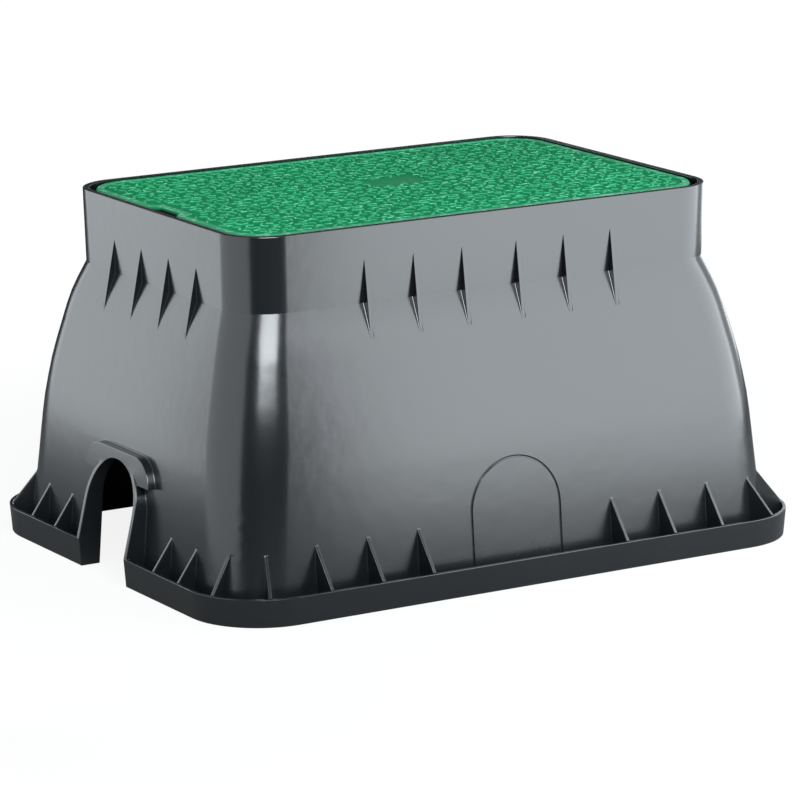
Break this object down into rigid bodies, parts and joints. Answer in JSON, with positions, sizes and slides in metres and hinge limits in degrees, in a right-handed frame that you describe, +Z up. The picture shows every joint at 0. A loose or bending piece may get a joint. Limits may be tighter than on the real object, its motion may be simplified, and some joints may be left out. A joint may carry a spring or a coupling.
{
  "type": "rectangular inspection box",
  "caption": "Open-bottomed rectangular ground box with flared ribbed walls, a channelled foot, arched pipe openings in both ends and a drop-in textured lid.",
  "frame": {"origin": "centre of the foot's underside, on the surface that the box stands on", "axes": "+X along the long sides, +Y along the short ends, +Z up towards the lid"},
  "size_m": [0.577, 0.442, 0.305],
  "materials": {
    "grey_plastic": "satin moulded plastic",
    "green_plastic": "satin moulded plastic with a fine anti-slip relief"
  },
  "bodies": {
    "root": {"box_body": "grey_plastic", "lid": "green_plastic"}
  },
  "joints": []
}
